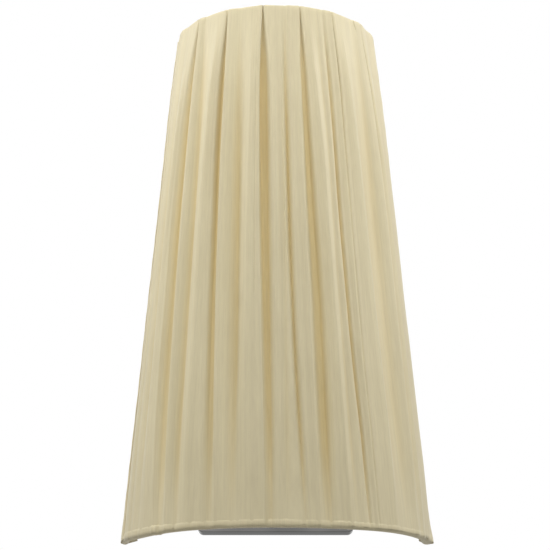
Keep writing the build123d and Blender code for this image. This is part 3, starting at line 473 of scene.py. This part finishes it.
def make_cover():
    heights = np.unique(np.concatenate([np.linspace(*zone) for zone in COVER_ZONES]))
    flat = cover_rows(heights)
    rows, depths = [], []
    for height, row in zip(heights, flat):
        arc = row[:, 0]
        fade = min(1.0, (SHADE_HEIGHT - height) / TOP_FADE)
        rise = row[:, 1] + fade * waver(arc, height) - dent(arc, height)
        rows.append(on_shade(arc, rise, height))
        # each point's depth in folds, where the cloth material paints shade
        depths.append(depth_in_folds(row))
    # over the top ring and down inside the lining
    top = flat[-1]
    turn = top[:, 0] / cone_radius(RING_HIGH)
    for step in range(1, RING_STEPS + 1):
        angle = math.pi * step / RING_STEPS
        cosine, sine = math.cos(angle), math.sin(angle)
        outward = math.copysign(abs(cosine) ** RING_FULLNESS[0], cosine)
        out = (RING_INSET + top[:, 1]) * outward - RING_INSET
        height = RING_HIGH + (RING_ROLL + TOP_FOLDS[0] * top[:, 1]) * sine ** RING_FULLNESS[1]
        rows.append(on_shade(turn * cone_radius(height), out, height))
    for down in INNER_ROWS:
        height = RING_HIGH - down
        out = -2 * RING_INSET - TOP_FOLDS[1] * np.maximum(top[:, 1], 0)
        rows.append(on_shade(turn * cone_radius(height), out, height))
    grid = np.array(rows)
    depths += [np.zeros(grid.shape[1])] * (len(rows) - len(depths))
    return sheet_mesh("cover_cloth", grid, sheet_uv(grid), crease=np.array(depths))


# ---------------------------------------------------------------- bottom hem

HEM_MIDDLE = 4.0                # height that the hem's columns are taken from
# At the left and right end, as size and reach: the hem is fatter, and ends higher.
HEM_FAT = ((0.2, 9), (0.8, 11))
HEM_LIFT = ((0.7, 12), (0.7, 8))
# Along the hem, as size, place in degrees and width: knots of thread, one small fold pressed in,
# and where the hem hangs lower (more than 0) or higher.
HEM_KNOTS = ((0.9, 43.5, 0.9), (0.5, 41.3, 0.7), (0.35, 93.5, 1.4))
HEM_FOLD = (0.9, 163.0, 1.5)
HEM_SAG = ((0.9, 30, 15), (-0.55, 138, 20))
HEM_WOBBLE = (0.056, 0.04)      # long and short unevenness of its rise
# Rise from the cover outside, rise from the bare cone inside, share of the inside, and height.
HEM_PROFILE = (
    (-0.30, 0, 0.0, 4.9), (0.08, 0, 0.0, 4.5), (0.16, 0, 0.0, 3.4), (0.17, 0, 0.0, 2.4),
    (0.12, 0, 0.0, 1.6), (-0.3, 0, 0.1, 0.8), (-1.0, -0.4, 0.3, 0.25), (-2.0, -1.8, 0.7, 0.0),
    (-3.2, -3.2, 1.0, 0.1), (-4.4, -4.4, 1.0, 0.7), (-5.4, -5.4, 1.0, 1.9),
    (-5.95, -5.95, 1.0, 3.8), (-6.1, -6.1, 1.0, 6.4), (-6.0, -6.0, 1.0, 8.9),
)
HEM_LOW = 3.2                   # the sag fades over about this height
KNOT_DROP = 0.5                 # how far a knot hangs down, as share of its rise
STEEPEST = 3.0                  # most that the hem's rise grows on steep cloth


def make_bottom_hem():
    """Cloth rolled round the bottom ring: proud of the cover outside, and a lip inside."""
    turn = cover_rows([HEM_MIDDLE])[0][:, 0] / cone_radius(HEM_MIDDLE)
    place = np.degrees(turn)
    from_ends = (turn * CONE_BOTTOM, (math.pi - turn) * CONE_BOTTOM)
    fat = sum(size * swell(away, 0, reach) for away, (size, reach) in zip(from_ends, HEM_FAT))
    lift = sum(size * swell(away, 0, reach) for away, (size, reach) in zip(from_ends, HEM_LIFT))
    knots = sum(size * swell(place, at, width) for size, at, width in HEM_KNOTS)
    fold = HEM_FOLD[0] * swell(place, *HEM_FOLD[1:])
    sag = sum(size * swell(place, at, width) for size, at, width in HEM_SAG) - lift
    wobble = HEM_WOBBLE[0] * np.sin(turn * 61 + np.sin(turn * 17))
    wobble = wobble + HEM_WOBBLE[1] * np.sin(turn * 143 + 1)
    rows = []
    for outside, inside, share, height in HEM_PROFILE:
        under = max(COVER_FOOT, height)
        arc, skin = cover_rows([under])[0].T
        skin = skin + waver(arc, under)
        steep = np.minimum(np.hypot(1.0, np.gradient(skin, arc)), STEEPEST)
        rise = (outside * steep + skin) * (1 - share) + inside * share
        rise = rise + (fat + knots - fold + wobble) * (1 - share)
        up = height - (sag + KNOT_DROP * knots) * swell(height, 0, HEM_LOW)
        rows.append(on_shade(turn * cone_radius(up), rise, up))
    grid = np.array(rows)
    return sheet_mesh("bottom_hem_roll", grid, sheet_uv(grid))


# ---------------------------------------------------------------- side bindings

# Name, side, the cover's flank there, widths of the outside strip at LEVELS, how far the cloth
# bunches inwards at the foot, how much it puffs out there and up to what height, and how much
# the bunched cloth lifts.
BINDINGS = (
    ("left_binding_cloth", -1, LEFT_FLANK, (26.0, 17.0, 14.0, 12.5, 12.0, 11.0, 11.0, 10.0),
     4.4, 0.1, 7.0, 0.28),
    ("right_binding_cloth", 1, RIGHT_FLANK, (12.0,) * 8, 0.8, 0.9, 12.0, 0.5),
)
BINDING_FOOT = 1.0
BINDING_TOP = SHADE_HEIGHT - 1.8
EDGE_WAVE = (0.3, 0.23)         # size of the waves of the strip's edge, and waves upward
STRIP_LIFT = 0.42               # the strip's rise from the cover under it,
LIFT_WAVE = (0.08, 0.31)        # and its waves
FOOT_REACH = 7.0                # height over which the bunched foot fades
PINCH_REACH = 1.3               # and over which its inside is pinched to the wall
LIP = 9.0                       # the inside lip reaches this far from the wall,
END_ZONE = 10                   # but not this near to the binding's ends
STRAP_COLUMNS = (11, 12)        # faces left open where a cross strap comes out


def make_binding(name, side, flank, widths, bunched, puffed, puff_reach, lifted):
    """Cover turned round an upright: strip outside, flat at the wall, lip inside the lining."""
    marks = [middle + way * STRAP_HALF for middle in POST_HEIGHTS for way in (-1, 1)]
    heights = np.unique(np.concatenate([
        np.linspace(BINDING_FOOT, 12.0, 12), np.linspace(12.0, BINDING_TOP, 86), marks
    ]))
    rows = []
    for height in heights:
        radius = cone_radius(height)
        wide = at_height(widths, height) + EDGE_WAVE[0] * math.sin(height * EDGE_WAVE[1] + side)
        skin = at_height(flank, height)
        lift = STRIP_LIFT + LIFT_WAVE[0] * math.sin(height * LIFT_WAVE[1] + side)
        foot = swell(height, 0, FOOT_REACH)
        bunch = bunched * foot
        puff = puffed * swell(height, 0, puff_reach)
        pinch = swell(height, BINDING_FOOT, PINCH_REACH)
        # (arc from the wall, rise), from the strip's edge outside to the lip's inside
        profile = [
            (wide, skin + 0.15), (wide - 0.35, skin + lift), (wide * 0.62, skin + lift + puff),
            (wide * 0.3, skin + lift + puff), (2.6, skin + lift - 0.25 + puff),
            (1.3, skin + lift - 0.6 + puff), (0.75, skin - 0.55 + 0.5 * puff), (0.45, -1.4),
            (0.4, -1.9), (0.4, -3.0), (0.4, -4.6 - 0.5 * bunch), (0.6, -5.6 - bunch),
            (1.3, -6.1 - bunch),
        ]
        if END_ZONE < height < BINDING_TOP - END_ZONE:
            profile += [(STRAP_DEPTH, -6.1 - 0.6 * bunch), (6.0, -6.1), (LIP, -6.1)]
        else:
            profile += [(2.0, -6.2 - 0.9 * bunch), (3.0, -6.15 - 0.5 * bunch), (4.0, -6.1)]
        row = []
        for arc, rise in profile:
            if rise < -1.0:
                arc += (1.0 - arc) * pinch * 0.9
            turn = arc / radius
            reach = radius + rise
            z = BOTTOM_Z + height + lifted * foot * max(0.0, -3.0 - rise)
            row.append((side * reach * math.cos(turn), -reach * math.sin(turn), z))
        rows.append(row)
    grid = np.array(rows) * MM

    def keep(i, j):
        middle = (heights[i] + heights[i + 1]) / 2
        at_strap = any(abs(middle - m) < STRAP_HALF for m in POST_HEIGHTS)
        return not (at_strap and j in STRAP_COLUMNS)

    return sheet_mesh(name, grid, sheet_uv(grid), keep)


# ---------------------------------------------------------------- lining

LINING_FOOT = 2.6
LINING_RISE = -5.05
LINING_GRID = (120, 161)        # rows and columns
LINING_WAVE = 0.06              # how far it waves inward
STRAP_GAP = 0.2                 # between its side edges and the cross straps' ends
SEAM_TURN = 1.2                 # place of its upright seam, in radians from the left end
SEAM_WIDTH = 1.1
SEAM_DEPTH = 0.132


def make_lining():
    """Plain lining on the inside of the frame, sewn with one upright seam."""
    rows = []
    for height in np.linspace(LINING_FOOT, RING_HIGH, LINING_GRID[0]):
        radius = cone_radius(height)
        inner = radius + LINING_RISE
        margin = math.asin((STRAP_DEPTH + STRAP_GAP) / inner)
        turn = np.linspace(margin, math.pi - margin, LINING_GRID[1])
        wave = np.sin(turn * 23 + 0.011 * height) * math.sin(0.019 * height + 0.4)
        seam = SEAM_DEPTH * swell(turn * inner, SEAM_TURN * inner, SEAM_WIDTH)
        rise = LINING_RISE - LINING_WAVE * np.abs(wave) - seam
        rows.append(on_shade(turn * radius, rise, height))
    grid = np.array(rows)
    return sheet_mesh("lining_sheet", grid, sheet_uv(grid))


# ---------------------------------------------------------------- cloth pieces

cover = make_cover()
bottom_hem = make_bottom_hem()
left_binding, right_binding = (make_binding(*binding) for binding in BINDINGS)
lining = make_lining()

for piece, nodes, slot, thickness in (
    (cover, ("pleated_cover", "top_hem"), "ivory_cloth", 0.4),
    (bottom_hem, ("bottom_hem",), "ivory_cloth", 0.3),
    (left_binding, ("left_binding",), "ivory_cloth", 0.4),
    (right_binding, ("right_binding",), "ivory_cloth", 0.4),
    (lining, ("shade_lining",), "lining_cloth", 0.3),
):
    thicken(piece, thickness)
    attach(piece, "shade")
    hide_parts(*nodes)


# ---------------------------------------------------------------- shader nodes

def new_material(name):
    material = bpy.data.materials.new(name)
    material.use_nodes = True
    tree = material.node_tree
    return material, tree, tree.nodes["Principled BSDF"]


def node(tree, kind, **settings):
    made = tree.nodes.new(kind)
    for key, value in settings.items():
        if key in made.inputs:
            made.inputs[key].default_value = value
        else:
            setattr(made, key, value)
    return made


def feed(tree, made, value, socket):
    """Links a socket's value, or sets a number or colour."""
    if isinstance(value, bpy.types.NodeSocket):
        tree.links.new(value, made.inputs[socket])
    else:
        made.inputs[socket].default_value = value


def scaled(tree, source, scale):
    mapping = node(tree, "ShaderNodeMapping", Scale=scale)
    tree.links.new(source, mapping.inputs["Vector"])
    return mapping.outputs["Vector"]


def noise(tree, vector, detail):
    made = node(tree, "ShaderNodeTexNoise", Scale=1.0, Detail=detail, Roughness=0.55)
    tree.links.new(vector, made.inputs["Vector"])
    return made.outputs["Fac"]


def ramp(tree, source, stops):
    made = node(tree, "ShaderNodeValToRGB")
    tree.links.new(source, made.inputs["Fac"])
    for element, (place, colour) in zip(made.color_ramp.elements, stops):
        element.position = place
        element.color = (*colour, 1.0)
    return made.outputs["Color"]


def multiply_colours(tree, a, b):
    made = node(tree, "ShaderNodeMix", data_type="RGBA", blend_type="MULTIPLY")
    for value, socket in ((1.0, 0), (a, 6), (b, 7)):
        feed(tree, made, value, socket)
    return made.outputs[2]


def maths(tree, operation, a, b=0.0):
    made = node(tree, "ShaderNodeMath", operation=operation)
    feed(tree, made, a, 0)
    feed(tree, made, b, 1)
    return made.outputs[0]


def bump(tree, shader, height, distance):
    """Adds to the shader's bump, on top of any that it has."""
    made = node(tree, "ShaderNodeBump", Strength=1.0, Distance=distance)
    tree.links.new(height, made.inputs["Height"])
    for old in shader.inputs["Normal"].links:
        tree.links.new(old.from_socket, made.inputs["Normal"])
    tree.links.new(made.outputs["Normal"], shader.inputs["Normal"])


def object_place(tree):
    return tree.nodes.new("ShaderNodeTexCoord").outputs["Object"]


def set_roughness(tree, shader, pattern, share, least):
    rough = maths(tree, "ADD", maths(tree, "MULTIPLY", pattern, share), least)
    tree.links.new(rough, shader.inputs["Roughness"])


# ---------------------------------------------------------------- materials

# Scales are waves per metre, across and along the cloth or along x, y and z.
YARN, STREAK, CROSS_YARN, CLOUD = (1700, 60, 1), (520, 5, 1), (90, 1700, 1), (22, 14, 1)
SLUB_DEPTH = 0.00005
WHITE = (1.0, 1.0, 1.0)
CLOTH_SHADE = (0.95, 0.945, 0.93)   # of its cloudier places
CREASE_PAINTED_SHADE = (0.96, 0.88, 0.68)   # painted shade, warmer and darker, at the bottoms of folds
METAL_GRAIN, METAL_CLOUD = (300, 300, 300), (28, 28, 28)
POLISHED = ((500, 500, 60), 0.000004)   # finer grain than METAL_GRAIN, and its depth
PLASTIC_CLOUD = (60, 60, 60)
GLASS_GRAIN, GLASS_CLOUD = (2200, 2200, 2200), (45, 45, 45)

# Dark and light colour, least roughness, its unevenness, and grain scale and depth.
METALS = {
    "polished_chrome": ((0.60, 0.60, 0.59), (0.70, 0.70, 0.69), 0.03, 0.05, *POLISHED),
    # painted reflection: the backplate's chrome is darkened, to look as if it mirrored a dim room
    "chrome_painted_dark_reflection": ((0.16, 0.16, 0.155), (0.22, 0.215, 0.21), 0.03, 0.05, *POLISHED),
    "zinc_plate": ((0.48, 0.49, 0.50), (0.60, 0.61, 0.62), 0.24, 0.12),
    "zinc_thread": ((0.46, 0.47, 0.48), (0.58, 0.59, 0.60), 0.26, 0.1),
    "chrome_thread": ((0.58, 0.58, 0.57), (0.68, 0.68, 0.67), 0.08, 0.06),
    "plain_brass": ((0.52, 0.36, 0.14), (0.66, 0.48, 0.21), 0.22, 0.14),
    "brass_thread": ((0.50, 0.35, 0.13), (0.64, 0.46, 0.20), 0.24, 0.12),
    "bare_copper": ((0.50, 0.22, 0.11), (0.66, 0.33, 0.18), 0.25, 0.14),
    "green_ground_screw": ((0.03, 0.17, 0.06), (0.05, 0.26, 0.10), 0.3, 0.12),
    "lamp_base_alloy": ((0.55, 0.53, 0.47), (0.68, 0.66, 0.60), 0.22, 0.12),
    "lamp_foot_solder": ((0.40, 0.40, 0.40), (0.56, 0.56, 0.55), 0.4, 0.15),
}
# painted reflection: dims the backplate's reflections too
DARK_REFLECTION_TINT = (0.3, 0.3, 0.3, 1.0)
# Pitch, axis (0, 1 or 2 for x, y or z) and depth of the thread.
THREADS = {
    "zinc_thread": (0.0008, 1, 0.00012),
    "chrome_thread": (0.0008, 1, 0.00012),
    "brass_thread": (0.0009, 2, 0.00012),
    "lamp_base_alloy": (0.0032, 2, 0.0009),
}
# Dark and light colour, least roughness, scale and depth of the orange peel, and clear coat.
PLASTICS = {
    "black_phenolic": ((0.018, 0.016, 0.015), (0.035, 0.031, 0.028), 0.32, 700, 0.00004),
    "black_lead_cover": ((0.012, 0.012, 0.012), (0.022, 0.022, 0.022), 0.42),
    "white_lead_cover": ((0.68, 0.67, 0.62), (0.76, 0.75, 0.70), 0.42),
    "black_bushing": ((0.014, 0.014, 0.015), (0.026, 0.026, 0.028), 0.38),
    "orange_connector": ((0.62, 0.13, 0.02), (0.74, 0.19, 0.035), 0.36, 700, 0.00006),
    "black_vitrite": ((0.012, 0.010, 0.016), (0.03, 0.026, 0.036), 0.12, 300, 0.00002, 0.5),
    "white_powder_coat": ((0.74, 0.73, 0.69), (0.80, 0.79, 0.75), 0.4, 1400, 0.00006),
}
# The CAD nodes that each material goes on.
FINISHES = {
    "polished_chrome": ("thumb_nut_lower", "thumb_nut_upper", "cap_nuts"),
    "chrome_painted_dark_reflection": ("backplate",),
    "zinc_plate": ("mounting_strap", "stud_lock_nuts", "socket_bracket", "bracket_rivets"),
    "zinc_thread": ("plate_studs",),
    "chrome_thread": ("shade_posts",),
    "plain_brass": ("nipple_locknut", "screw_shell", "centre_contact"),
    "brass_thread": ("socket_nipple",),
    "bare_copper": ("ground_lead",),
    "green_ground_screw": ("ground_screw",),
    "lamp_base_alloy": ("lamp_base",),
    "lamp_foot_solder": ("lamp_foot_contact",),
    "black_phenolic": ("lampholder",),
    "black_lead_cover": ("black_lead",),
    "white_lead_cover": ("white_lead",),
    "black_bushing": ("wire_bushing",),
    "orange_connector": ("wire_connectors",),
    "black_vitrite": ("lamp_insulator",),
    "white_powder_coat": (
        "top_ring", "bottom_ring", "side_wires", "rib_wires", "lower_cross_strap",
        "upper_cross_strap",
    ),
    "frosted_lamp_glass": ("lamp_glass",),
}


def cloudy_colour(tree, shader, place, scale, dark, light):
    """Base colour that drifts between two shades, and the pattern that it drifts by."""
    cloud = noise(tree, scaled(tree, place, scale), 3.0)
    tone = ramp(tree, cloud, ((0.3, dark), (0.7, light)))
    tree.links.new(tone, shader.inputs["Base Color"])
    return cloud


def cloth_material(name, dark, light, sheen):
    """Slubbed cloth: uneven upright yarns, finer cross yarns and a soft bloom, and painted shade
    deep in folds.
    """
    material, tree, shader = new_material(name)
    uv = tree.nodes.new("ShaderNodeUVMap").outputs["UV"]
    yarn = noise(tree, scaled(tree, uv, YARN), 2.0)
    streak = noise(tree, scaled(tree, uv, STREAK), 3.0)
    cross = noise(tree, scaled(tree, uv, CROSS_YARN), 2.0)
    cloud = noise(tree, scaled(tree, uv, CLOUD), 3.0)
    lines = maths(
        tree, "ADD", maths(tree, "MULTIPLY", yarn, 0.5), maths(tree, "MULTIPLY", streak, 0.5)
    )
    tone = ramp(tree, lines, ((0.36, dark), (0.62, light)))
    soft = ramp(tree, cloud, ((0.3, CLOTH_SHADE), (0.7, WHITE)))
    # painted shade: deep in folds the colour is made warmer and darker, by the crease depth
    fold = node(tree, "ShaderNodeAttribute", attribute_name="crease").outputs["Fac"]
    painted_crease_shade = ramp(tree, fold, ((0.0, WHITE), (1.0, CREASE_PAINTED_SHADE)))
    colour = multiply_colours(tree, multiply_colours(tree, tone, soft), painted_crease_shade)
    tree.links.new(colour, shader.inputs["Base Color"])
    bump(tree, shader, maths(tree, "ADD", lines, maths(tree, "MULTIPLY", cross, 0.45)), SLUB_DEPTH)
    set_roughness(tree, shader, streak, 0.2, 0.5)
    shader.inputs["Sheen Weight"].default_value = sheen
    shader.inputs["Sheen Roughness"].default_value = 0.45
    shader.inputs["Specular IOR Level"].default_value = 0.4
    return material


def metal_material(name, dark, light, rough, uneven, scale=METAL_GRAIN, grain=0.00002):
    """Metal with faint brushing or casting marks and worn, cloudier places."""
    material, tree, shader = new_material(name)
    place = object_place(tree)
    grains = noise(tree, scaled(tree, place, scale), 4.0)
    cloud = cloudy_colour(tree, shader, place, METAL_CLOUD, dark, light)
    shader.inputs["Metallic"].default_value = 1.0
    set_roughness(tree, shader, maths(tree, "ADD", grains, cloud), uneven, rough)
    bump(tree, shader, grains, grain)
    return material


def plastic_material(name, dark, light, rough, scale=900, peel_depth=0.00003, coat=0.0):
    """Moulded plastic or paint: fine orange peel and slight colour drift."""
    material, tree, shader = new_material(name)
    place = object_place(tree)
    peel = noise(tree, scaled(tree, place, (scale, scale, scale)), 2.0)
    cloud = cloudy_colour(tree, shader, place, PLASTIC_CLOUD, dark, light)
    set_roughness(tree, shader, cloud, 0.15, rough)
    shader.inputs["Coat Weight"].default_value = coat
    bump(tree, shader, peel, peel_depth)
    return material


def cut_thread(material, pitch, axis, depth):
    """Adds a screw thread to the material's bump."""
    tree = material.node_tree
    split = tree.nodes.new("ShaderNodeSeparateXYZ")
    tree.links.new(object_place(tree), split.inputs[0])
    turns = maths(tree, "MULTIPLY", split.outputs[axis], 2 * math.pi / pitch)
    bump(tree, tree.nodes["Principled BSDF"], maths(tree, "SINE", turns), depth)


def glass_material(name):
    """Frosted lamp glass: white inside bloom that lets light through."""
    material, tree, shader = new_material(name)
    place = object_place(tree)
    grain = noise(tree, scaled(tree, place, GLASS_GRAIN), 2.0)
    cloudy_colour(tree, shader, place, GLASS_CLOUD, (0.86, 0.87, 0.86), (0.93, 0.93, 0.92))
    set_roughness(tree, shader, grain, 0.12, 0.38)
    shader.inputs["Transmission Weight"].default_value = 0.55
    shader.inputs["IOR"].default_value = 1.5
    bump(tree, shader, grain, 0.00001)
    return material


ivory = cloth_material("ivory_slub_cloth", (0.72, 0.63, 0.405), (0.79, 0.70, 0.455), 0.2)
white_cloth = cloth_material("white_lining_cloth", (0.76, 0.74, 0.68), (0.87, 0.855, 0.80), 0.15)
for piece in (cover, bottom_hem, left_binding, right_binding):
    piece.data.materials.append(ivory)
lining.data.materials.append(white_cloth)

materials = {name: metal_material(name, *looks) for name, looks in METALS.items()}
materials.update({name: plastic_material(name, *looks) for name, looks in PLASTICS.items()})
materials["frosted_lamp_glass"] = glass_material("frosted_lamp_glass")
for name, thread in THREADS.items():
    cut_thread(materials[name], *thread)
# the backplate's darkened chrome, a painted dark reflection, has its reflections dimmed as well
dark_reflection_shader = materials["chrome_painted_dark_reflection"].node_tree.nodes["Principled BSDF"]
dark_reflection_shader.inputs["Specular Tint"].default_value = DARK_REFLECTION_TINT

for material_name, node_names in FINISHES.items():
    for name in node_names:
        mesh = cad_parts[name].data
        mesh.materials.clear()
        mesh.materials.append(materials[material_name])


# ---------------------------------------------------------------- stage and light

FLOOR_HALF = 6.0
FLOOR_DROP = 0.25               # the floor lies this far under the shade
FLOOR_GLOW = 0.55               # its own light, for what the camera sees and not for the object
WORLD_LIGHT = 0.06
LIGHT_TARGET = (0, 0, 0.05)
# Name, place, side of the square and power.
LIGHTS = (
    ("front", (0.0, -0.95, 0.70), 0.5, 3.9),
    ("top", (0.0, -0.40, 1.1), 0.5, 0.8),
    ("left", (-0.66, -0.56, 0.76), 0.5, 3.8),
    ("right", (0.66, -0.56, 0.76), 0.5, 3.6),
    ("left_edge", (-0.90, 0.13, 0.66), 0.5, 5.4),
    ("right_edge", (0.90, 0.13, 0.66), 0.5, 5.4),
    ("back", (0.1, 1.1, 0.9), 1.0, 7),
)


def seen_ray(tree):
    """1 for what the camera sees, straight, in metal or through glass, and 0 for light."""
    path = tree.nodes.new("ShaderNodeLightPath")
    seen = maths(tree, "MAXIMUM", path.outputs["Is Camera Ray"], path.outputs["Is Glossy Ray"])
    return maths(tree, "MAXIMUM", seen, path.outputs["Is Transmission Ray"])


def make_floor():
    half, z = FLOOR_HALF, BOTTOM_Z * MM - FLOOR_DROP
    mesh = bpy.data.meshes.new("floor")
    corners = [(-half, -half, z), (half, -half, z), (half, half, z), (-half, half, z)]
    mesh.from_pydata(corners, [], [(0, 1, 2, 3)])
    floor = bpy.data.objects.new("floor", mesh)
    bpy.context.scene.collection.objects.link(floor)
    material, tree, shader = new_material("pale_floor")
    cloudy_colour(
        tree, shader, object_place(tree), (3, 3, 3), (0.33, 0.33, 0.33), (0.36, 0.36, 0.36)
    )
    shader.inputs["Roughness"].default_value = 0.8
    shader.inputs["Emission Color"].default_value = (*WHITE, 1.0)
    glow = maths(tree, "MULTIPLY", seen_ray(tree), FLOOR_GLOW)
    tree.links.new(glow, shader.inputs["Emission Strength"])
    mesh.materials.append(material)


def make_world():
    world = bpy.data.worlds.new("studio")
    bpy.context.scene.world = world
    world.use_nodes = True
    tree = world.node_tree
    background = tree.nodes["Background"]
    background.inputs["Color"].default_value = (*WHITE, 1.0)
    seen = maths(tree, "MULTIPLY", seen_ray(tree), 1.0 - WORLD_LIGHT)
    level = maths(tree, "ADD", seen, WORLD_LIGHT)
    tree.links.new(level, background.inputs["Strength"])


def area_light(name, place, side, power):
    data = bpy.data.lights.new(name, "AREA")
    data.shape = "RECTANGLE"
    data.size = data.size_y = side
    data.energy = power
    light = bpy.data.objects.new(name, data)
    light.location = place
    aim = Vector(LIGHT_TARGET) - Vector(place)
    light.rotation_euler = aim.to_track_quat("-Z", "Y").to_euler()
    bpy.context.scene.collection.objects.link(light)


make_floor()
make_world()
for light in LIGHTS:
    area_light(*light)

bpy.context.scene.view_settings.view_transform = "Standard"
